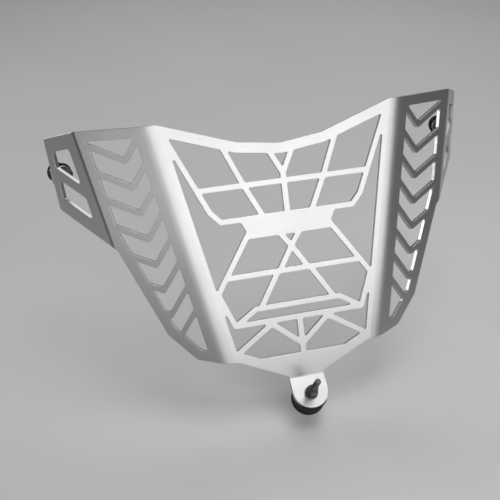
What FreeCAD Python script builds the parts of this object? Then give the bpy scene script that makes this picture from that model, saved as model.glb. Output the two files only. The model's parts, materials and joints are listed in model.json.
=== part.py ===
import FreeCAD, Part
import Sketcher
import math
import os

# Headlight guard for a motorcycle: one laser-cut sheet, folded into a shallow
# bowl, carried on three rubber isolators with studs, washers and lock nuts.
# The sheet is drawn with its middle panel upright in the XZ plane, front face
# at y = 0, and the finished part is then raked back about the X axis.

Vector = FreeCAD.Vector

doc = FreeCAD.newDocument("headlight_guard")
sizes = doc.addObject("Spreadsheet::Sheet", "Sizes")

SIZES = {
    # the sheet and its lattice
    "sheet_thickness": 4.0,
    "bar_width": 5.4,
    "spine_width": 6.0,
    "frame_width": 10.0,
    "tight_radius": 1.0,
    "soft_radius": 3.0,
    "edge_radius": 6.0,
    "rake_angle": 27.4,
    # outline of the middle panel
    "top_middle_z": 105.2,
    "top_knee_x": 42.1,
    "top_knee_z": 110.5,
    "top_rise_angle": 18.4,
    "bottom_corner_x": 65.7,
    "bottom_corner_z": -102.4,
    "bottom_rise_angle": 8.6,
    "bottom_fall_angle": 25.1,
    # lattice of the middle panel
    "cross_bar_z": 68.9,
    "u_bar_z": 36.6,
    "plate_bottom_z": 16.8,
    "waist_z": 4.9,
    "middle_bar_z": -18.3,
    "band_bar_z": -52.2,
    "low_bar_z": -65.9,
    "sill_z": -102.0,
    "inner_bar_x": 40.3,
    "inner_bar_lean": 23.2,
    "inner_bar_low_lean": 26.0,
    "outer_knee_x": 76.4,
    "outer_knee_z": 47.3,
    "outer_bar_lean": 24.2,
    "u_corner_x": 66.7,
    "fork_z": 76.2,
    "fork_lean": 26.9,
    "plate_end_x": 43.1,
    "plate_end_z": 24.5,
    "plate_end_top_x": 47.8,
    "brace_x": 45.1,
    "brace_lean": 33.9,
    "waist_top_x": 8.7,
    "waist_low_x": 14.6,
    "leg_top_x": 16.3,
    "leg_foot_x": 37.9,
    "hip_x": 43.3,
    "low_corner_x": 65.0,
    "low_corner_lean": 21.7,
    "crossing_x": 28.8,
    "crossing_z": -69.1,
    "crossing_fall_angle": 33.2,
    "vee_z": -93.5,
    # slanted fold between the middle and each side panel
    "fold_foot_x": 97.2,
    "fold_slant": 11.26,
    "fold_strip": 11.7,
    "side_fold_angle": 19.0,
    "side_bend_radius": 38.0,
    # side panel, measured along the fold and away from it
    "side_top_along": 139.4,
    "side_top_angle": 13.3,
    "ear_fold_distance": 70.2,
    "ear_foot_along": 39.5,
    "side_hip_along": 35.0,
    "side_hip_out": 66.8,
    "side_knee_along": -58.7,
    "side_knee_out": 47.1,
    "side_toe_along": -90.0,
    "side_toe_out": 27.8,
    "side_foot_along": -100.5,
    "side_margin": 15.0,
    "chevron_count": 8,
    "chevron_root_along": 129.2,
    "chevron_root_pitch": 24.8,
    "chevron_tip_along": 113.9,
    "chevron_tip_pitch": 25.8,
    "chevron_tip_out": 31.7,
    "chevron_tip_step": 1.05,
    "chevron_end_along": 136.7,
    "chevron_end_pitch": 27.0,
    "chevron_end_out": 60.0,
    "least_window": 14.0,
    # ear
    "ear_fold_angle": 38.3,
    "ear_bend_radius": 1.5,
    "ear_top_along": 157.6,
    "ear_top_out": 49.3,
    "ear_tail_along": 86.7,
    "ear_tail_out": 62.6,
    "ear_margin": 14.5,
    "ear_rear_margin": 9.7,
    "ear_bar_width": 10.0,
    "ear_bar_setback": 37.7,
    "ear_corner_radius": 3.5,
    # fixing tab of each ear
    "ear_tab_distance": 33.4,
    "ear_tab_angle": 103.0,
    "ear_tab_bend_radius": 2.0,
    "ear_tab_half_width": 7.5,
    "ear_tab_reach": 15.5,
    # fixing tab of the middle panel
    "tab_angle": 33.0,
    "tab_bend_radius": 1.2,
    "tab_half_width": 18.1,
    "tab_round_reach": 15.2,
    "tab_hole_reach": 18.0,
    "tab_fillet": 2.0,
    "tab_lead": 0.2,
    # isolators
    "lower_isolator_radius": 17.0,
    "lower_isolator_height": 16.0,
    "lower_disc_radius": 14.5,
    "ear_isolator_radius": 10.0,
    "ear_isolator_height": 15.0,
    "ear_disc_radius": 8.0,
    "disc_thickness": 2.0,
    "isolator_waist": 1.2,
    "waist_round": 20.0,
    # studs and fasteners
    "hole_radius": 3.3,
    "stud_radius": 3.0,
    "stud_bevel": 0.6,
    "stud_clearance": 0.1,
    "lower_stud_reach": 34.0,
    "ear_stud_reach": 15.5,
    "rear_stud_length": 18.0,
    "washer_radius": 6.7,
    "washer_clearance": 0.2,
    "washer_thickness": 1.6,
    "nut_half_flats": 5.0,
    "nut_hex_height": 7.4,
    "nut_corner": 1.2,
    "nut_corner_drop": 0.6,
    "nut_collar_height": 3.4,
    "nut_collar_radius": 4.7,
    "nut_collar_bevel": 0.6,
    "nut_lip_radius": 3.5,
    "nut_lip_thickness": 0.5,
    "lock_ring_radius": 4.0,
}

for row, (alias, number) in enumerate(SIZES.items(), start=1):
    sizes.set("A%d" % row, alias)
    sizes.set("B%d" % row, str(number))
    sizes.setAlias("B%d" % row, alias)
doc.recompute()


def size(alias):
    return float(sizes.get(alias))


def slope(alias):
    return math.tan(math.radians(size(alias)))


def half_slope(alias):
    return math.tan(math.radians(size(alias)) / 2)


thickness = size("sheet_thickness")
half_bar = size("bar_width") / 2
half_spine = size("spine_width") / 2
frame = size("frame_width")


# Flat drawing: points are (across, up) pairs, and a line carries its set-back.

def line(start, end, setback=0.0):
    return (start, end, setback)


def level(height, setback=0.0):
    return line((0.0, height), (100.0, height), setback)


def upright(across, setback=0.0):
    return line((across, 0.0), (across, 100.0), setback)


def leaning(point, across_per_up, setback=0.0):
    return line(point, (point[0] + 100.0 * across_per_up, point[1] + 100.0), setback)


def rising(point, up_per_across, setback=0.0):
    return line(point, (point[0] + 100.0, point[1] + 100.0 * up_per_across), setback)


def mirrored_line(of_line):
    (ax, ay), (bx, by), setback = of_line
    return line((-ax, ay), (-bx, by), setback)


def cross_point(first, second):
    (ax, ay), (bx, by) = first[0], first[1]
    (cx, cy), (dx, dy) = second[0], second[1]
    ux, uy = bx - ax, by - ay
    vx, vy = dx - cx, dy - cy
    share = ((cx - ax) * vy - (cy - ay) * vx) / (ux * vy - uy * vx)
    return (ax + share * ux, ay + share * uy)


def signed_area(points):
    total = 0.0
    for (ax, ay), (bx, by) in zip(points, points[1:] + points[:1]):
        total += ax * by - bx * ay
    return total / 2


def shifted(start, end, distance):
    # the line from start to end, moved to its left
    length = math.dist(start, end)
    nx = -(end[1] - start[1]) / length * distance
    ny = (end[0] - start[0]) / length * distance
    return line((start[0] + nx, start[1] + ny), (end[0] + nx, end[1] + ny))


def inset(lines):
    # corners of the region bounded by the lines, each set back into the region
    count = len(lines)
    rough = [cross_point(lines[i - 1], lines[i]) for i in range(count)]
    inwards = 1.0 if signed_area(rough) > 0 else -1.0
    moved = []
    for i in range(count):
        moved.append(shifted(rough[i], rough[(i + 1) % count], lines[i][2] * inwards))
    return [cross_point(moved[i - 1], moved[i]) for i in range(count)]


def mirrored(points):
    return [(-x, y) for x, y in reversed(points)]


def corner_angle(before, corner, after):
    ux, uy = before[0] - corner[0], before[1] - corner[1]
    vx, vy = after[0] - corner[0], after[1] - corner[1]
    cosine = (ux * vx + uy * vy) / (math.hypot(ux, uy) * math.hypot(vx, vy))
    return math.acos(max(-1.0, min(1.0, cosine)))


def cut_radius(angle):
    # open corners of a window are soft, sharp ones are tight
    return size("soft_radius") if angle > math.radians(95) else size("tight_radius")


def rounded_wire(points, spot, radii=None):
    # closed outline through the points; corners with a radius are rounded
    count = len(points)
    angles = []
    for i in range(count):
        angles.append(corner_angle(points[i - 1], points[i], points[(i + 1) % count]))
    if radii is None:
        radii = [cut_radius(angle) for angle in angles]
    backs = [radii[i] / math.tan(angles[i] / 2) for i in range(count)]
    room = []
    for i in range(count):
        length = math.dist(points[i], points[(i + 1) % count])
        room.append(0.98 * length / max(backs[i] + backs[(i + 1) % count], 0.01))
    starts, middles, ends = [], [], []
    for i, corner in enumerate(points):
        back = backs[i] * min(1.0, room[i - 1], room[i])
        radius = back * math.tan(angles[i] / 2)
        before, after = points[i - 1], points[(i + 1) % count]
        first, second = math.dist(before, corner), math.dist(after, corner)
        ux, uy = (before[0] - corner[0]) / first, (before[1] - corner[1]) / first
        vx, vy = (after[0] - corner[0]) / second, (after[1] - corner[1]) / second
        length = math.hypot(ux + vx, uy + vy)
        depth = radius / math.sin(angles[i] / 2) - radius
        starts.append(spot(corner[0] + ux * back, corner[1] + uy * back))
        ends.append(spot(corner[0] + vx * back, corner[1] + vy * back))
        middles.append(spot(corner[0] + (ux + vx) / length * depth, corner[1] + (uy + vy) / length * depth))
    edges = []
    for i in range(count):
        if radii[i] > 0:
            edges.append(Part.Arc(starts[i], middles[i], ends[i]).toShape())
        edges.append(Part.LineSegment(ends[i], starts[(i + 1) % count]).toShape())
    return Part.Wire(edges)


def flat_spot(x, y):
    return Vector(x, y, 0)


def polygon_face(points):
    corners = [flat_spot(x, y) for x, y in points]
    return Part.Face(Part.makePolygon(corners + corners[:1]))


def face_with_windows(edge, windows):
    return Part.makeFace([edge] + windows, "Part::FaceMakerBullseye")


class Panel:
    """A flat of the sheet: a point of its front face and its across, up and back directions."""

    def __init__(self, origin, across, up, back):
        self.origin = origin
        self.across = across
        self.up = up
        self.back = back

    def spot(self, x, y):
        return self.origin + self.across * x + self.up * y

    def bend(self, turn, inner_radius, lows, highs, sections=7):
        # folds the sheet about the line across = 0; a negative turn folds it forwards.
        # lows and highs are the ends of the strip along the fold, where it starts and stops.
        turn = math.radians(turn)
        way = 1.0 if turn > 0 else -1.0
        radius = inner_radius + thickness if turn > 0 else inner_radius
        reach = radius * math.tan(abs(turn) / 2)
        axis = self.origin - self.across * reach + self.back * (radius * way)
        wires = []
        for i in range(sections):
            share = i / (sections - 1)
            angle = abs(turn) * share
            out = self.across * math.sin(angle) - self.back * (math.cos(angle) * way)
            deep = self.back * math.cos(angle) - self.across * (math.sin(angle) * way)
            low = axis + out * radius + self.up * (lows[0] + (lows[1] - lows[0]) * share)
            high = axis + out * radius + self.up * (highs[0] + (highs[1] - highs[0]) * share)
            wires.append(Part.makePolygon([low, high, high + deep * thickness, low + deep * thickness, low]))
        if lows[0] == lows[1] and highs[0] == highs[1]:
            hinge = self.across.cross(self.back) * way
            strip = Part.Face(wires[0]).revolve(axis, hinge, math.degrees(abs(turn)))
        else:
            strip = Part.makeLoft(wires, True, False)
        across = self.across * math.cos(turn) + self.back * math.sin(turn)
        back = self.back * math.cos(turn) - self.across * math.sin(turn)
        return strip, Panel(self.origin, across, self.up, back), reach


def bend_reach(angle_alias, radius_alias):
    # length of front face that a backwards fold takes on either side of its line
    return (size(radius_alias) + thickness) * half_slope(angle_alias)


def add_shape(label, shape):
    feature = doc.addObject("Part::Feature", label)
    feature.Shape = shape
    return feature


def add_plate(label, face, panel):
    plate = doc.addObject("Part::Extrusion", label)
    plate.Base = add_shape(label + "_outline", face)
    plate.DirMode = "Custom"
    plate.Dir = panel.back
    plate.Solid = True
    plate.setExpression("LengthFwd", "Sizes.sheet_thickness")
    return plate


# Middle panel

middle = Panel(Vector(0, 0, 0), Vector(1, 0, 0), Vector(0, 0, 1), Vector(0, 1, 0))
slant = math.radians(size("fold_slant"))
fold_foot = (size("fold_foot_x"), 0.0)
side_reach = bend_reach("side_fold_angle", "side_bend_radius")


def beside_fold(distance):
    # the line parallel to the slanted fold, this far inside it
    foot = (fold_foot[0] - math.cos(slant) * distance, math.sin(slant) * distance)
    return leaning(foot, math.tan(slant))


top_middle = (0.0, size("top_middle_z"))
top_knee = (size("top_knee_x"), size("top_knee_z"))
top_inner = line(top_middle, top_knee, frame)
top_outer = rising(top_knee, slope("top_rise_angle"), frame)
strip_edge = beside_fold(size("fold_strip"))
bend_edge = beside_fold(side_reach)

cross_bar = level(size("cross_bar_z"), half_bar)
u_bar = level(size("u_bar_z"), half_bar)
plate_bottom = level(size("plate_bottom_z"))
middle_bar = level(size("middle_bar_z"), half_bar)
band_bar = level(size("band_bar_z"), half_bar)
low_bar = level(size("low_bar_z"), half_bar)
sill = level(size("sill_z"))
spine = upright(0.0, half_spine)

inner_node = (size("inner_bar_x"), size("cross_bar_z"))
inner_bar = leaning(inner_node, slope("inner_bar_lean"), half_bar)
inner_low_bar = leaning(inner_node, slope("inner_bar_low_lean"), half_bar)
outer_knee = (size("outer_knee_x"), size("outer_knee_z"))
outer_bar = leaning(outer_knee, slope("outer_bar_lean"), half_bar)
u_corner = line((size("u_corner_x"), size("u_bar_z")), outer_knee, half_bar)
fork = leaning((0.0, size("fork_z")), slope("fork_lean"), half_bar)
plate_end = line((size("plate_end_x"), size("plate_end_z")),
                 (size("plate_end_top_x"), size("u_bar_z") - half_bar))
brace = leaning((size("brace_x"), size("plate_bottom_z")), -slope("brace_lean"), half_bar)
waist = (0.0, size("waist_z"))
waist_top = line(waist, (size("waist_top_x"), size("plate_bottom_z")), half_bar)
waist_low = line(waist, (size("waist_low_x"), size("middle_bar_z")), half_bar)
leg = line((size("leg_top_x"), size("middle_bar_z")), (size("leg_foot_x"), size("band_bar_z")), half_bar)
low_corner = (size("low_corner_x"), size("low_bar_z"))
hip = line((size("hip_x"), size("band_bar_z")), low_corner, half_bar)
low_riser = leaning(low_corner, slope("low_corner_lean"), half_bar)
crossing = (size("crossing_x"), size("crossing_z"))
crossing_fall = rising(crossing, -slope("crossing_fall_angle"), half_bar)
vee = line((0.0, size("vee_z")), crossing, half_bar)
bottom_corner = (size("bottom_corner_x"), size("bottom_corner_z"))
bottom_fall = rising(bottom_corner, slope("bottom_fall_angle"), frame)
bottom_rise = rising(bottom_corner, slope("bottom_rise_angle"))

paired_windows = [
    [top_outer, outer_bar, cross_bar, inner_bar],
    [inner_bar, top_outer, top_inner, fork, spine, cross_bar],
    [cross_bar, spine, u_bar, inner_low_bar],
    [cross_bar, inner_low_bar, u_bar, u_corner, outer_bar],
    [strip_edge, brace, plate_end, u_bar, u_corner, outer_bar],
    [plate_bottom, waist_top, waist_low, middle_bar, brace],
    [brace, middle_bar, leg, band_bar, hip, low_riser],
    [strip_edge, low_riser, low_bar, crossing_fall],
    [low_bar, spine, vee],
    [crossing_fall, vee, spine, sill, bottom_fall],
]
single_windows = [
    [fork, top_inner, mirrored_line(top_inner), mirrored_line(fork)],
    [plate_bottom, mirrored_line(waist_top), waist_top],
    [middle_bar, waist_low, mirrored_line(waist_low)],
    [middle_bar, mirrored_line(leg), band_bar, leg],
    [band_bar, mirrored_line(hip), low_bar, hip],
]
window_wires = []
for lines in paired_windows:
    corners = inset(lines)
    window_wires.append(rounded_wire(corners, middle.spot))
    window_wires.append(rounded_wire(mirrored(corners), middle.spot))
for lines in single_windows:
    window_wires.append(rounded_wire(inset(lines), middle.spot))

bend_top = cross_point(top_outer, bend_edge)
bend_bottom = cross_point(bottom_rise, bend_edge)
tab_half = size("tab_half_width")
tab_root = (tab_half, bottom_corner[1] - (bottom_corner[0] - tab_half) * slope("bottom_fall_angle"))
fillet_turn = math.radians(90.0 + size("bottom_fall_angle"))
tab_start = tab_root[1] - size("tab_fillet") / math.tan(fillet_turn / 2) - size("tab_lead")
edge_radius = size("edge_radius")
right_edge = [top_knee, bend_top, bend_bottom, bottom_corner, tab_root, (tab_half, tab_start)]
right_radii = [edge_radius, 0.0, 0.0, size("soft_radius"), size("tab_fillet"), 0.0]
middle_edge = rounded_wire(right_edge + mirrored(right_edge) + [top_middle], middle.spot,
                           right_radii + right_radii[::-1] + [edge_radius])
middle_plate = add_plate("middle_panel", face_with_windows(middle_edge, window_wires), middle)

# Fixing tab below the middle panel, folded forwards

tab_line_z = tab_start - size("tab_bend_radius") * half_slope("tab_angle")
tab_line = Panel(Vector(0, 0, tab_line_z), Vector(0, 0, -1), Vector(1, 0, 0), Vector(0, 1, 0))
tab_strip, tab, tab_bend_end = tab_line.bend(-size("tab_angle"), size("tab_bend_radius"),
                                             (-tab_half, -tab_half), (tab_half, tab_half))
tab_bend = add_shape("tab_bend", tab_strip)


def tab_face(panel, start, reach, half, hole_reach):
    # a tab with a round end and a hole on its middle line
    edges = [
        Part.LineSegment(panel.spot(reach, -half), panel.spot(start, -half)).toShape(),
        Part.LineSegment(panel.spot(start, -half), panel.spot(start, half)).toShape(),
        Part.LineSegment(panel.spot(start, half), panel.spot(reach, half)).toShape(),
        Part.Arc(panel.spot(reach, half), panel.spot(reach + half, 0), panel.spot(reach, -half)).toShape(),
    ]
    hole = Part.Wire(Part.makeCircle(size("hole_radius"), panel.spot(hole_reach, 0), panel.back))
    return face_with_windows(Part.Wire(edges), [hole])


tab_outline = tab_face(tab, tab_bend_end, size("tab_round_reach"), tab_half, size("tab_hole_reach"))
tab_plate = add_plate("tab_flat", tab_outline, tab)

# Side panel beyond the slanted fold

fold_across = Vector(math.cos(slant), 0, -math.sin(slant))
fold_up = Vector(math.sin(slant), 0, math.cos(slant))
fold_line = Panel(Vector(fold_foot[0], 0, 0), fold_across, fold_up, Vector(0, 1, 0))


def along_fold(point):
    return (point[0] - fold_foot[0]) * math.sin(slant) + point[1] * math.cos(slant)


side_strip, side, side_start = fold_line.bend(
    size("side_fold_angle"), size("side_bend_radius"),
    (along_fold(bend_bottom), size("side_foot_along")), (along_fold(bend_top), size("side_top_along")))
side_bend = add_shape("side_bend", side_strip)

ear_reach = bend_reach("ear_fold_angle", "ear_bend_radius")
ear_line_out = size("ear_fold_distance")
ear_edge = upright(ear_line_out - ear_reach)
side_foot = (side_start, size("side_foot_along"))
side_toe = (size("side_toe_out"), size("side_toe_along"))
side_knee = (size("side_knee_out"), size("side_knee_along"))
side_hip = (size("side_hip_out"), size("side_hip_along"))
ear_foot = (ear_line_out, size("ear_foot_along"))
side_top = (side_start, size("side_top_along"))
side_top_edge = rising(side_top, slope("side_top_angle"), frame)
side_ear_foot = cross_point(line(side_hip, ear_foot), ear_edge)
side_ear_top = cross_point(side_top_edge, ear_edge)
ear_top_start = cross_point(side_top_edge, upright(ear_line_out))
side_edge = rounded_wire(
    [side_foot, side_toe, side_knee, side_hip, side_ear_foot, side_ear_top, side_top], side.spot,
    [0.0, edge_radius, edge_radius, size("tight_radius"), 0.0, 0.0, 0.0])

side_opening = polygon_face(inset([
    upright(size("side_margin")), side_top_edge, upright(ear_line_out, frame),
    line(side_hip, side_knee, frame), line(side_knee, side_toe, frame), line(side_toe, side_foot, frame)]))


def chevron_face(index):
    # one bent bar: a leg from the fold down to the tip, and a leg from there up to the ear
    root = (size("side_margin"), size("chevron_root_along") - index * size("chevron_root_pitch"))
    tip = (size("chevron_tip_out") + index * size("chevron_tip_step"),
           size("chevron_tip_along") - index * size("chevron_tip_pitch"))
    end = (size("chevron_end_out"), size("chevron_end_along") - index * size("chevron_end_pitch"))
    root = (2 * root[0] - tip[0], 2 * root[1] - tip[1])
    end = (2 * end[0] - tip[0], 2 * end[1] - tip[1])
    sides = []
    for distance in (half_bar, -half_bar):
        first = shifted(root, tip, distance)
        second = shifted(tip, end, distance)
        sides.append([first[0], cross_point(first, second), second[1]])
    return polygon_face(sides[0] + sides[1][::-1])


for index in range(int(size("chevron_count"))):
    side_opening = side_opening.cut(chevron_face(index))


def without_straights(points):
    # leaves out points that lie on a straight run
    kept = []
    for i, point in enumerate(points):
        before, after = points[i - 1], points[(i + 1) % len(points)]
        if corner_angle(before, point, after) < math.radians(179.5):
            kept.append(point)
    return kept


side_windows = []
for face in side_opening.Faces:
    if face.Area < size("least_window"):
        continue
    points = [(vertex.X, vertex.Y) for vertex in face.OuterWire.OrderedVertexes]
    side_windows.append(rounded_wire(without_straights(points), side.spot))
side_plate = add_plate("side_panel", face_with_windows(side_edge, side_windows), side)

# Ear beyond the second fold

ear_line = Panel(side.spot(ear_line_out, 0), side.across, side.up, side.back)
ear_tail = (size("ear_tail_out"), size("ear_tail_along"))
ear_top = (size("ear_top_out"), size("ear_top_along"))
ear_low_edge = line((0.0, size("ear_foot_along")), ear_tail)
ear_high_edge = line((0.0, ear_top_start[1]), ear_top)
ear_start = upright(ear_reach)
ear_low = cross_point(ear_low_edge, ear_start)
ear_high = cross_point(ear_high_edge, ear_start)
ear_strip, ear, ear_bend_end = ear_line.bend(
    size("ear_fold_angle"), size("ear_bend_radius"),
    (side_ear_foot[1], ear_low[1]), (side_ear_top[1], ear_high[1]))
ear_bend = add_shape("ear_bend", ear_strip)

ear_corner = size("ear_corner_radius")
ear_edge_wire = rounded_wire([ear_low, ear_tail, ear_top, ear_high], ear.spot,
                             [0.0, ear_corner, ear_corner, 0.0])
ear_margin = size("ear_margin")
ear_inner = upright(0.0, ear_margin)
ear_rear = line(ear_tail, ear_top, size("ear_rear_margin"))
ear_bar_line = shifted(ear_low_edge[0], ear_low_edge[1], size("ear_bar_setback"))
ear_bar = line(ear_bar_line[0], ear_bar_line[1], size("ear_bar_width") / 2)
ear_windows = [
    [ear_inner, line(ear_high_edge[0], ear_high_edge[1], ear_margin), ear_rear, ear_bar],
    [ear_inner, ear_bar, ear_rear, line(ear_low_edge[0], ear_low_edge[1], ear_margin)],
]
ear_window_wires = []
for lines in ear_windows:
    corners = inset(lines)
    ear_window_wires.append(rounded_wire(corners, ear.spot, [size("soft_radius")] * len(corners)))
ear_plate = add_plate("ear", face_with_windows(ear_edge_wire, ear_window_wires), ear)

# Fixing tab behind the ear, folded inwards

rear_up = ear.spot(*ear_top) - ear.spot(*ear_tail)
rear_up.normalize()
rear_point = ear.spot(*ear_tail) + rear_up * size("ear_tab_distance")
rear_out = rear_up.cross(ear.back)
if rear_out.dot(ear.across) < 0:
    rear_out = rear_out * -1
rear_reach = bend_reach("ear_tab_angle", "ear_tab_bend_radius")
rear_line = Panel(rear_point + rear_out * rear_reach, rear_out, rear_up, ear.back)
ear_tab_half = size("ear_tab_half_width")
rear_strip, ear_tab, rear_bend_end = rear_line.bend(
    size("ear_tab_angle"), size("ear_tab_bend_radius"),
    (-ear_tab_half, -ear_tab_half), (ear_tab_half, ear_tab_half))
ear_tab_bend = add_shape("ear_tab_bend", rear_strip)
ear_tab_reach = size("ear_tab_reach")
ear_tab_outline = tab_face(ear_tab, rear_bend_end, ear_tab_reach, ear_tab_half, ear_tab_reach)
ear_tab_plate = add_plate("ear_tab_flat", ear_tab_outline, ear_tab)

# The whole sheet

right_half = doc.addObject("Part::MultiFuse", "right_side")
right_half.Shapes = [side_bend, side_plate, ear_bend, ear_plate, ear_tab_bend, ear_tab_plate]
left_half = doc.addObject("Part::Mirroring", "left_side")
left_half.Source = right_half
left_half.Normal = Vector(1, 0, 0)
left_half.Base = Vector(0, 0, 0)
guard = doc.addObject("Part::MultiFuse", "guard_sheet")
guard.Shapes = [middle_plate, tab_bend, tab_plate, right_half, left_half]
guard.Refine = True
doc.recompute()


# Fixings. Each has a frame at its hole, on the nut's face, with Z towards the nut.

def frame_at(origin, across, towards_nut):
    return FreeCAD.Placement(origin, FreeCAD.Rotation(across, towards_nut.cross(across), towards_nut, "ZXY"))


def flipped(vector):
    return Vector(-vector.x, vector.y, vector.z)


ear_hole = ear_tab.spot(ear_tab_reach, 0) + ear_tab.back * thickness
fixings = {
    "lower": frame_at(tab.spot(size("tab_hole_reach"), 0), Vector(1, 0, 0), tab.back * -1),
    "right": frame_at(ear_hole, ear_tab.across, ear_tab.back),
    "left": frame_at(flipped(ear_hole), flipped(ear_tab.across), flipped(ear_tab.back)),
}


def own(fixing, word):
    # the lower fixing and the pair at the ears have sizes of their own
    return ("lower_" if fixing == "lower" else "ear_") + word


# The part's own frame: the seat of the lower rear stud is the origin, the panel is raked back.
rake = FreeCAD.Rotation(Vector(1, 0, 0), -size("rake_angle"))
lower_seat = fixings["lower"].multVec(Vector(0, 0, -thickness - size("lower_isolator_height")))
whole = FreeCAD.Placement(rake.multVec(lower_seat) * -1, rake)
guard.Placement = whole


def amount(words):
    # value of a sum of named sizes such as "disc_radius - stud_bevel"
    total = 0.0
    sign = 1.0
    for word in words.split():
        if word in "+-":
            sign = 1.0 if word == "+" else -1.0
        else:
            total += sign * size(word)
    return total


def bound(words):
    return " ".join(word if word in "+-" else "Sizes." + word for word in words.split())


def plane_of(body, role):
    return [feature for feature in body.Origin.OriginFeatures if feature.Role == role][0]


def new_sketch(body, label, role):
    sketch = body.newObject("Sketcher::SketchObject", label)
    sketch.AttachmentSupport = [(plane_of(body, role), "")]
    sketch.MapMode = "FlatFace"
    return sketch


def bind(sketch, constraint, expression):
    sketch.setExpression("Constraints[%d]" % sketch.addConstraint(constraint), expression)


def pin_point(sketch, geometry, point, across, up):
    # holds a point of the sketch at named sizes from the two axes
    for words, kind, axis in ((across, "DistanceX", -2), (up, "DistanceY", -1)):
        if words:
            bind(sketch, Sketcher.Constraint(kind, -1, 1, geometry, point, amount(words)), bound(words))
        else:
            sketch.addConstraint(Sketcher.Constraint("PointOnObject", geometry, point, axis))


def outline_sketch(body, label, corners):
    # closed half section in the XZ plane, corner by corner as (radius, height)
    sketch = new_sketch(body, label, "XZ_Plane")
    spots = [flat_spot(amount(across), amount(up)) for across, up in corners]
    count = len(spots)
    for i in range(count):
        sketch.addGeometry(Part.LineSegment(spots[i], spots[(i + 1) % count]), False)
    for i in range(count):
        sketch.addConstraint(Sketcher.Constraint("Coincident", i, 2, (i + 1) % count, 1))
    for i, (across, up) in enumerate(corners):
        pin_point(sketch, i, 1, across, up)
    return sketch


def turned(body, label, kind, sketch):
    feature = body.newObject(kind, label)
    feature.Profile = sketch
    feature.ReferenceAxis = (sketch, ["V_Axis"])
    feature.Angle = 360.0
    doc.recompute()
    return feature


def new_body(label, fixing, height):
    body = doc.addObject("PartDesign::Body", label)
    body.Label = label
    lift = FreeCAD.Placement(Vector(0, 0, height), FreeCAD.Rotation())
    body.Placement = whole.multiply(fixings[fixing]).multiply(lift)
    return body


def make_rubber(fixing):
    # round buffer, hollowed at both ends for the discs and drawn in at its waist
    height = own(fixing, "isolator_height")
    radius = own(fixing, "isolator_radius")
    disc = own(fixing, "disc_radius")
    body = new_body(fixing + "_isolator_rubber", fixing, -thickness - size(height))
    sketch = outline_sketch(body, "section", [
        ("", "disc_thickness"), (disc, "disc_thickness"), (disc, ""),
        (radius, ""), (radius, height), (disc, height),
        (disc, height + " - disc_thickness"), ("", height + " - disc_thickness")])
    turned(body, "buffer", "PartDesign::Revolution", sketch)
    groove = new_sketch(body, "waist_section", "XZ_Plane")
    middle_out = radius + " + waist_round - isolator_waist"
    centre = flat_spot(amount(middle_out), size(height) / 2)
    groove.addGeometry(Part.Circle(centre, Vector(0, 0, 1), size("waist_round")), False)
    bind(groove, Sketcher.Constraint("Radius", 0, size("waist_round")), "Sizes.waist_round")
    bind(groove, Sketcher.Constraint("DistanceX", -1, 1, 0, 3, centre.x), bound(middle_out))
    bind(groove, Sketcher.Constraint("DistanceY", -1, 1, 0, 3, centre.y), bound(height) + " / 2")
    turned(body, "waist", "PartDesign::Groove", groove)
    return body


def make_front_disc(fixing):
    # disc bonded in the rubber, with the stud that carries the tab
    body = new_body(fixing + "_front_stud", fixing, -thickness - size("disc_thickness"))
    disc = own(fixing, "disc_radius")
    tip = "disc_thickness + sheet_thickness + " + own(fixing, "stud_reach")
    sketch = outline_sketch(body, "section", [
        ("", ""), (disc, ""), (disc, "disc_thickness"), ("stud_radius", "disc_thickness"),
        ("stud_radius", tip + " - stud_bevel"), ("stud_radius - stud_bevel", tip), ("", tip)])
    turned(body, "stud", "PartDesign::Revolution", sketch)
    return body


def make_rear_disc(fixing):
    # the same at the rear, with its stud pointing away from the guard
    depth = -thickness - size(own(fixing, "isolator_height")) - size("rear_stud_length")
    body = new_body(fixing + "_rear_stud", fixing, depth)
    disc = own(fixing, "disc_radius")
    seat = "rear_stud_length"
    sketch = outline_sketch(body, "section", [
        ("", ""), ("stud_radius - stud_bevel", ""), ("stud_radius", "stud_bevel"), ("stud_radius", seat),
        (disc, seat), (disc, seat + " + disc_thickness"), ("", seat + " + disc_thickness")])
    turned(body, "stud", "PartDesign::Revolution", sketch)
    return body


def make_washer(fixing):
    body = new_body(fixing + "_washer", fixing, 0.0)
    sketch = new_sketch(body, "ring", "XY_Plane")
    for i, words in enumerate(("washer_radius", "stud_radius + washer_clearance")):
        sketch.addGeometry(Part.Circle(Vector(0, 0, 0), Vector(0, 0, 1), amount(words)), False)
        sketch.addConstraint(Sketcher.Constraint("Coincident", i, 3, -1, 1))
        bind(sketch, Sketcher.Constraint("Radius", i, amount(words)), bound(words))
    pad = body.newObject("PartDesign::Pad", "plate")
    pad.Profile = sketch
    pad.setExpression("Length", "Sizes.washer_thickness")
    doc.recompute()
    return body


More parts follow.
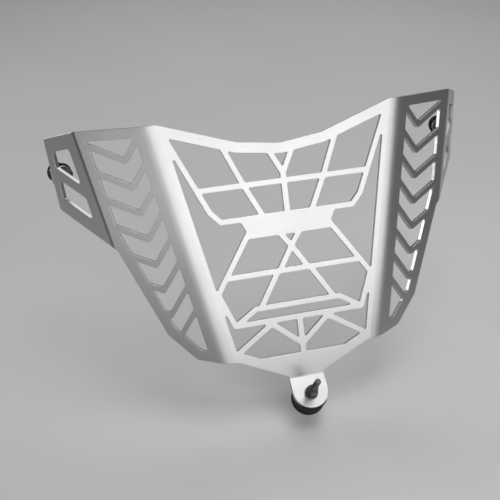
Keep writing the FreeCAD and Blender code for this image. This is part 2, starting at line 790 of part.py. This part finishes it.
def make_nut(fixing):
    # hexagon with bevelled corners and a collar that holds the locking ring
    body = new_body(fixing + "_lock_nut", fixing, size("washer_thickness"))
    hexagon = body.newObject("PartDesign::AdditivePrism", "hexagon")
    hexagon.Polygon = 6
    hexagon.setExpression("Circumradius", "Sizes.nut_half_flats * 2 / sqrt(3)")
    hexagon.setExpression("Height", "Sizes.nut_hex_height")
    doc.recompute()
    corner = "nut_half_flats + nut_corner"
    foot = outline_sketch(body, "foot_bevel_section", [
        ("nut_half_flats", ""), (corner, ""), (corner, "nut_corner_drop")])
    turned(body, "foot_bevel", "PartDesign::Groove", foot)
    head = outline_sketch(body, "head_bevel_section", [
        ("nut_half_flats", "nut_hex_height"), (corner, "nut_hex_height - nut_corner_drop"),
        (corner, "nut_hex_height")])
    turned(body, "head_bevel", "PartDesign::Groove", head)
    top = "nut_hex_height + nut_collar_height"
    collar = outline_sketch(body, "collar_section", [
        ("", "nut_hex_height - nut_corner_drop"), ("nut_collar_radius", "nut_hex_height - nut_corner_drop"),
        ("nut_collar_radius", top + " - nut_collar_bevel"), ("nut_collar_radius - nut_collar_bevel", top),
        ("", top)])
    turned(body, "collar", "PartDesign::Revolution", collar)
    ring_top = top + " - nut_lip_thickness"
    bore = outline_sketch(body, "bore_section", [
        ("", ""), ("stud_radius + stud_clearance", ""), ("stud_radius + stud_clearance", "nut_hex_height"),
        ("lock_ring_radius", "nut_hex_height"), ("lock_ring_radius", ring_top), ("nut_lip_radius", ring_top),
        ("nut_lip_radius", top), ("", top)])
    turned(body, "bore", "PartDesign::Groove", bore)
    return body


def make_lock_ring(fixing):
    # plastic ring held under the lip of the nut's collar, gripping the stud
    body = new_body(fixing + "_lock_ring", fixing, size("washer_thickness"))
    ring_top = "nut_hex_height + nut_collar_height - nut_lip_thickness"
    sketch = outline_sketch(body, "section", [
        ("stud_radius", "nut_hex_height"), ("lock_ring_radius", "nut_hex_height"),
        ("lock_ring_radius", ring_top), ("stud_radius", ring_top)])
    turned(body, "ring", "PartDesign::Revolution", sketch)
    return body


pieces = [guard]
for fixing in fixings:
    pieces.append(make_rubber(fixing))
    pieces.append(make_front_disc(fixing))
    pieces.append(make_rear_disc(fixing))
    pieces.append(make_washer(fixing))
    pieces.append(make_nut(fixing))
    pieces.append(make_lock_ring(fixing))
doc.recompute()

for item in doc.Objects:
    if "Invalid" in item.State or "Error" in item.State:
        raise RuntimeError(item.Name + " did not build")
for piece in pieces:
    if piece.Shape.isNull() or not piece.Shape.isValid() or len(piece.Shape.Solids) != 1:
        raise RuntimeError(piece.Label + " is not one sound solid")

os.makedirs("parts", exist_ok=True)
for piece in pieces:
    piece.Shape.exportStep("parts/" + piece.Label + ".step")
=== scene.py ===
import json
import math

import bmesh
import bpy
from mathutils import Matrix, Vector


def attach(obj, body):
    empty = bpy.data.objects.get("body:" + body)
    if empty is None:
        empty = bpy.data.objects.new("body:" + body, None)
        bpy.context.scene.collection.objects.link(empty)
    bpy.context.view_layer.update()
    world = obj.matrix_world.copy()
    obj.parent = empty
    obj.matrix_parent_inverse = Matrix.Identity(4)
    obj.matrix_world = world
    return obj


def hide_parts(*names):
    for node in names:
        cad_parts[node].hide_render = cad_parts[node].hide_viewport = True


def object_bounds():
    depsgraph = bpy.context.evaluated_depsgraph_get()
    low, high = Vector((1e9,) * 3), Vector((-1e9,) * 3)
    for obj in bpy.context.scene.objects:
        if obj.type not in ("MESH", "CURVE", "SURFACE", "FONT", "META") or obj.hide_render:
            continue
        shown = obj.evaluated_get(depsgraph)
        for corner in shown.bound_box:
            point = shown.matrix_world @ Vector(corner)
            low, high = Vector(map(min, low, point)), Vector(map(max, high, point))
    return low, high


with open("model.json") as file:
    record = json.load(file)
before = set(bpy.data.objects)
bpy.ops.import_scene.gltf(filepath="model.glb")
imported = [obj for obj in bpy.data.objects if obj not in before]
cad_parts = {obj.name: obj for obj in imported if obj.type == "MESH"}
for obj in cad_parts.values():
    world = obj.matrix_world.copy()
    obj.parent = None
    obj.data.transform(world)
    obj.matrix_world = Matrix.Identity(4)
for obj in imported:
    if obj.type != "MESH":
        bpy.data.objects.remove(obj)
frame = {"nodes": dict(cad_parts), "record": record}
CAD_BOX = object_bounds()
NODES = frame["nodes"]
MOUNTS = {mount["name"]: mount for mount in frame["record"]["mounts"]}
FIXINGS = ("lower", "left", "right")
STEEL_PIECES = ("front_stud", "rear_stud", "washer", "lock_nut")

# Node helpers

BEVEL_SAMPLES = 6
EDGE_SPAN = (0.78, 0.985)
EDGE_LEVELS = (1.0, 0.0)


def new_material(name):
    material = bpy.data.materials.new(name)
    material.use_nodes = True
    tree = material.node_tree
    shader = tree.nodes["Principled BSDF"]
    return material, tree, shader


def add_node(tree, kind, **values):
    # each value goes to the input of that name, or else to the node's own setting
    node = tree.nodes.new(kind)
    for key, value in values.items():
        if key in node.inputs:
            node.inputs[key].default_value = value
        else:
            setattr(node, key, value)
    return node


def add_ramp(tree, source, span, colours):
    # from the first colour to the second while the source goes through the span
    ramp = add_node(tree, "ShaderNodeValToRGB")
    for element, place, colour in zip(ramp.color_ramp.elements, span, colours):
        element.position = place
        element.color = (*colour, 1.0)
    tree.links.new(source, ramp.inputs["Fac"])
    return ramp.outputs["Color"]


def greys(levels):
    return [(level, level, level) for level in levels]


def object_coordinates(tree):
    return add_node(tree, "ShaderNodeTexCoord").outputs["Object"]


def stretched(tree, place, scale):
    mapping = add_node(tree, "ShaderNodeMapping", Scale=scale)
    tree.links.new(place, mapping.inputs["Vector"])
    return mapping.outputs["Vector"]


def add_noise(tree, place, scale, detail, roughness=0.5):
    noise = add_node(tree, "ShaderNodeTexNoise", Scale=scale, Detail=detail, Roughness=roughness)
    tree.links.new(place, noise.inputs["Vector"])
    return noise.outputs["Fac"]


def add_bump(tree, source, strength, distance, normal=None):
    bump = add_node(tree, "ShaderNodeBump", Strength=strength, Distance=distance)
    tree.links.new(source, bump.inputs["Height"])
    if normal is not None:
        tree.links.new(normal, bump.inputs["Normal"])
    return bump.outputs["Normal"]


def soft_edges(tree, radius):
    # normals that turn over the edges, as on edges that were broken a little
    return add_node(tree, "ShaderNodeBevel", samples=BEVEL_SAMPLES, Radius=radius).outputs["Normal"]


def edge_mask(tree, edges):
    # 1 along the edges, 0 on the flats
    geometry = add_node(tree, "ShaderNodeNewGeometry")
    facing = add_node(tree, "ShaderNodeVectorMath", operation="DOT_PRODUCT")
    tree.links.new(edges, facing.inputs[0])
    tree.links.new(geometry.outputs["Normal"], facing.inputs[1])
    return add_ramp(tree, facing.outputs["Value"], EDGE_SPAN, greys(EDGE_LEVELS))


def mixed(tree, factor, first, second):
    mix = add_node(tree, "ShaderNodeMix", data_type="RGBA")
    tree.links.new(factor, mix.inputs["Factor"])
    tree.links.new(first, mix.inputs["A"])
    tree.links.new(second, mix.inputs["B"])
    return mix.outputs["Result"]


# Materials

def sheet_metal():
    # satin aluminium with a fine even grain and faint streaks; the brighter base colour along the
    # edges is a painted highlight
    flat_colours = ((0.42, 0.425, 0.433), (0.46, 0.464, 0.47))
    # painted highlight: the edge colours are about twice as bright as the flats
    edge_colours = ((0.86, 0.862, 0.865), (0.92, 0.92, 0.92))
    cloud_span = (0.3, 0.7)
    streak_stretch = (40.0, 900.0, 900.0)
    streak_span = (0.25, 0.75)
    roughness_levels = (0.28, 0.34)
    material, tree, shader = new_material("satin_aluminium")
    shader.inputs["Metallic"].default_value = 0.9
    place = object_coordinates(tree)
    edges = soft_edges(tree, radius=0.0007)
    clouds = add_noise(tree, place, scale=16.0, detail=5.0, roughness=0.55)
    flat = add_ramp(tree, clouds, cloud_span, flat_colours)
    edge = add_ramp(tree, clouds, cloud_span, edge_colours)
    # the edge mask lays the painted highlight colours along the edges
    tree.links.new(mixed(tree, edge_mask(tree, edges), flat, edge), shader.inputs["Base Color"])
    streaks = add_noise(tree, stretched(tree, place, streak_stretch), scale=1.0, detail=3.0)
    gloss = add_ramp(tree, streaks, streak_span, greys(roughness_levels))
    tree.links.new(gloss, shader.inputs["Roughness"])
    grain = add_noise(tree, place, scale=2400.0, detail=3.0, roughness=0.6)
    bump = add_bump(tree, grain, strength=0.16, distance=0.0002, normal=edges)
    tree.links.new(bump, shader.inputs["Normal"])
    return material


def rubber():
    # black rubber with a little dust and a fine skin
    colours = ((0.007, 0.007, 0.0075), (0.020, 0.020, 0.021))
    colour_span = (0.35, 0.8)
    roughness_span = (0.3, 0.7)
    roughness_levels = (0.58, 0.76)
    material, tree, shader = new_material("black_rubber")
    shader.inputs["Specular IOR Level"].default_value = 0.25
    place = object_coordinates(tree)
    dust = add_noise(tree, place, scale=90.0, detail=6.0, roughness=0.6)
    tree.links.new(add_ramp(tree, dust, colour_span, colours), shader.inputs["Base Color"])
    gloss = add_ramp(tree, dust, roughness_span, greys(roughness_levels))
    tree.links.new(gloss, shader.inputs["Roughness"])
    skin = add_noise(tree, place, scale=800.0, detail=4.0)
    edges = soft_edges(tree, radius=0.0008)
    bump = add_bump(tree, skin, strength=0.25, distance=0.0003, normal=edges)
    tree.links.new(bump, shader.inputs["Normal"])
    return material


def dark_steel():
    # black oxide on steel, rubbed a little brighter along its edges
    flat_colours = ((0.085, 0.085, 0.087), (0.14, 0.14, 0.142))
    edge_colours = ((0.12, 0.12, 0.122), (0.22, 0.22, 0.22))
    colour_span = (0.35, 0.8)
    roughness_span = (0.3, 0.7)
    roughness_levels = (0.36, 0.5)
    material, tree, shader = new_material("black_oxide_steel")
    shader.inputs["Metallic"].default_value = 0.75
    place = object_coordinates(tree)
    edges = soft_edges(tree, radius=0.0003)
    wear = add_noise(tree, place, scale=300.0, detail=5.0, roughness=0.6)
    flat = add_ramp(tree, wear, colour_span, flat_colours)
    edge = add_ramp(tree, wear, colour_span, edge_colours)
    tree.links.new(mixed(tree, edge_mask(tree, edges), flat, edge), shader.inputs["Base Color"])
    gloss = add_ramp(tree, wear, roughness_span, greys(roughness_levels))
    tree.links.new(gloss, shader.inputs["Roughness"])
    grain = add_noise(tree, place, scale=1800.0, detail=3.0)
    bump = add_bump(tree, grain, strength=0.18, distance=0.0002, normal=edges)
    tree.links.new(bump, shader.inputs["Normal"])
    return material


def ring_plastic():
    # dark nylon with a slight haze
    colours = ((0.05, 0.05, 0.055), (0.075, 0.075, 0.08))
    haze_span = (0.3, 0.7)
    roughness_levels = (0.42, 0.55)
    material, tree, shader = new_material("dark_nylon")
    shader.inputs["Specular IOR Level"].default_value = 0.4
    haze = add_noise(tree, object_coordinates(tree), scale=500.0, detail=4.0)
    tree.links.new(add_ramp(tree, haze, haze_span, colours), shader.inputs["Base Color"])
    gloss = add_ramp(tree, haze, haze_span, greys(roughness_levels))
    tree.links.new(gloss, shader.inputs["Roughness"])
    bump = add_bump(tree, haze, strength=0.15, distance=0.0002)
    tree.links.new(bump, shader.inputs["Normal"])
    return material


def set_material(piece, material):
    piece.data.materials.clear()
    piece.data.materials.append(material)


ALUMINIUM = sheet_metal()
RUBBER = rubber()
STEEL = dark_steel()
NYLON = ring_plastic()

set_material(NODES["guard_sheet"], ALUMINIUM)
for fixing in FIXINGS:
    set_material(NODES[fixing + "_isolator_rubber"], RUBBER)
    set_material(NODES[fixing + "_lock_ring"], NYLON)
    for kind in STEEL_PIECES:
        set_material(NODES[fixing + "_" + kind], STEEL)

# Threaded studs: the same discs and shanks as the solids, with a cut thread on each shank

THREAD_PITCH = 0.001
THREAD_DEPTH = 0.00061
THREAD_ROWS = 8
THREAD_SEGMENTS = 40
CREST_SLOPE = 1.3
CREST_CUT = 0.12
RUN_OUT = 0.0015
SHANK_RADIUS = 0.003
SHANK_BEVEL = 0.0006
NECK = 0.0004
RIM_SHARE = 0.98
SHARP_ANGLE = math.radians(40.0)


def thread_radius(turn, along, start):
    # radius of the cut shank: the thread starts plain by the disc and is full after its run-out
    phase = (along / THREAD_PITCH - turn) % 1.0
    slope = abs(2.0 * phase - 1.0)
    crest = min(1.0, max(0.0, CREST_SLOPE * slope - CREST_CUT))
    depth = THREAD_DEPTH * min(1.0, max(0.0, (along - start) / RUN_OUT))
    return SHANK_RADIUS - depth * (1.0 - crest)


def measured_stud(node_name, seat, way):
    # the solid's disc radius, then how far from the seat its disc starts and ends and its shank ends
    alongs = []
    radii = []
    for vertex in NODES[node_name].data.vertices:
        offset = vertex.co - seat
        along = offset.dot(way)
        alongs.append(along)
        radii.append((offset - way * along).length)
    disc_radius = max(radii)
    rim = [along for along, radius in zip(alongs, radii) if radius > RIM_SHARE * disc_radius]
    return disc_radius, min(rim), max(rim), max(alongs)


def stud_rows(disc_radius, disc_low, disc_high, tip):
    # rows of the distance along the stud and the radius there, or None on the thread
    rows = [(disc_low, disc_radius), (disc_high, disc_radius), (disc_high, SHANK_RADIUS)]
    start = disc_high + NECK
    end = tip - SHANK_BEVEL
    count = int((end - start) / THREAD_PITCH * THREAD_ROWS)
    for i in range(count + 1):
        rows.append((start + (end - start) * i / count, None))
    rows.append((tip, SHANK_RADIUS - SHANK_BEVEL))
    return rows, start


def stud_mesh(name, seat, way, rows, thread_start):
    side = way.orthogonal().normalized()
    other = way.cross(side)
    shape = bmesh.new()
    rings = []
    for along, radius in rows:
        ring = []
        for i in range(THREAD_SEGMENTS):
            turn = i / THREAD_SEGMENTS
            angle = 2.0 * math.pi * turn
            reach = radius if radius is not None else thread_radius(turn, along, thread_start)
            out = side * math.cos(angle) + other * math.sin(angle)
            ring.append(shape.verts.new(seat + way * along + out * reach))
        rings.append(ring)
    for low, high in zip(rings, rings[1:]):
        for i in range(THREAD_SEGMENTS):
            after = (i + 1) % THREAD_SEGMENTS
            shape.faces.new((low[i], low[after], high[after], high[i]))
    shape.faces.new(rings[0][::-1])
    shape.faces.new(rings[-1])
    bmesh.ops.recalc_face_normals(shape, faces=shape.faces)
    mesh = bpy.data.meshes.new(name)
    shape.to_mesh(mesh)
    shape.free()
    mesh.polygons.foreach_set("use_smooth", [True] * len(mesh.polygons))
    mesh.set_sharp_from_angle(angle=SHARP_ANGLE)
    return mesh


def build_stud(node_name, seat, way):
    rows, thread_start = stud_rows(*measured_stud(node_name, seat, way))
    name = node_name + "_threaded"
    piece = bpy.data.objects.new(name, stud_mesh(name, seat, way, rows, thread_start))
    bpy.context.scene.collection.objects.link(piece)
    set_material(piece, STEEL)
    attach(piece, "root")
    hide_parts(node_name)


for fixing in FIXINGS:
    mount = MOUNTS[fixing + "_stud"]
    seat = Vector(mount["pos_m"])
    axis = Vector(mount["axis"]).normalized()
    build_stud(fixing + "_rear_stud", seat, axis)
    build_stud(fixing + "_front_stud", seat, -axis)

# Floor

FLOOR_GAP = 0.0005
FLOOR_LEVEL = CAD_BOX[0].z - FLOOR_GAP
FLOOR_HALF = 6.0
FLOOR_SPAN = (0.3, 0.7)
FLOOR_LEVELS = (0.59, 0.62)
FADE_START = 1.0
FADE_END = 3.2


def pale_floor():
    # matt and pale near the part, fading into the grey of the studio far away from it
    material, tree, shader = new_material("pale_floor")
    place = object_coordinates(tree)
    cloud = add_noise(tree, place, scale=3.0, detail=3.0)
    colour = add_ramp(tree, cloud, FLOOR_SPAN, greys(FLOOR_LEVELS))
    tree.links.new(colour, shader.inputs["Base Color"])
    shader.inputs["Roughness"].default_value = 0.9
    distance = add_node(tree, "ShaderNodeVectorMath", operation="LENGTH")
    tree.links.new(place, distance.inputs[0])
    fade = add_node(tree, "ShaderNodeMapRange", interpolation_type="SMOOTHSTEP")
    fade.inputs["From Min"].default_value = FADE_START
    fade.inputs["From Max"].default_value = FADE_END
    tree.links.new(distance.outputs["Value"], fade.inputs["Value"])
    clear = add_node(tree, "ShaderNodeBsdfTransparent")
    both = add_node(tree, "ShaderNodeMixShader")
    tree.links.new(fade.outputs["Result"], both.inputs["Fac"])
    tree.links.new(shader.outputs["BSDF"], both.inputs[1])
    tree.links.new(clear.outputs["BSDF"], both.inputs[2])
    tree.links.new(both.outputs["Shader"], tree.nodes["Material Output"].inputs["Surface"])
    return material


floor_mesh = bpy.data.meshes.new("floor")
grid = bmesh.new()
bmesh.ops.create_grid(grid, x_segments=1, y_segments=1, size=FLOOR_HALF)
grid.to_mesh(floor_mesh)
grid.free()
floor = bpy.data.objects.new("floor", floor_mesh)
floor.location = (0.0, 0.0, FLOOR_LEVEL)
bpy.context.scene.collection.objects.link(floor)
set_material(floor, pale_floor())

# Light

WORLD_COLOUR = (0.95, 0.97, 1.0, 1.0)
WORLD_STRENGTH = 0.08
MIDDLE = (0.0, 0.07, 0.14)
BEHIND = (0.0, 0.9, 0.0)

world = bpy.data.worlds.new("studio")
bpy.context.scene.world = world
world.use_nodes = True
sky = world.node_tree.nodes["Background"]
sky.inputs["Color"].default_value = WORLD_COLOUR
sky.inputs["Strength"].default_value = WORLD_STRENGTH


def soft_box(name, spot, aim, wide, high, power, spread):
    # sizes in metres, power in watts, spread in degrees
    data = bpy.data.lights.new(name, "AREA")
    data.shape = "RECTANGLE"
    data.size = wide
    data.size_y = high
    data.energy = power
    data.spread = math.radians(spread)
    lamp = bpy.data.objects.new(name, data)
    lamp.location = spot
    lamp.rotation_euler = (Vector(aim) - Vector(spot)).to_track_quat("-Z", "Y").to_euler()
    bpy.context.scene.collection.objects.link(lamp)


soft_box("front_box", spot=(0.29, -1.24, 0.77), aim=MIDDLE,
         wide=1.7, high=0.95, power=8.8, spread=150.0)
soft_box("left_box", spot=(-0.95, -1.5, 0.75), aim=MIDDLE,
         wide=0.8, high=0.7, power=0.38, spread=75.0)
soft_box("top_box", spot=(0.32, -0.02, 1.7), aim=MIDDLE,
         wide=1.0, high=0.9, power=5.2, spread=130.0)
soft_box("back_left_box", spot=(-1.5, 1.2, 0.45), aim=MIDDLE,
         wide=1.0, high=0.8, power=2.2, spread=80.0)
soft_box("back_box", spot=(0.6, 2.0, 1.9), aim=BEHIND,
         wide=2.0, high=1.4, power=14.0, spread=150.0)

# Camera

CAMERA_SPOT = Vector((-0.2252, -0.60872, 0.61656))
CAMERA_WAY = Vector((0.217, 0.800, -0.559))
CAMERA_LENS = 62.93
CAMERA_SENSOR = 36.0

camera_data = bpy.data.cameras.new("camera")
camera_data.sensor_width = CAMERA_SENSOR
camera_data.lens = CAMERA_LENS
camera = bpy.data.objects.new("camera", camera_data)
camera.location = CAMERA_SPOT
camera.rotation_euler = CAMERA_WAY.to_track_quat("-Z", "Y").to_euler()
bpy.context.scene.collection.objects.link(camera)
bpy.context.scene.camera = camera
bpy.context.scene.view_settings.view_transform = "Standard"
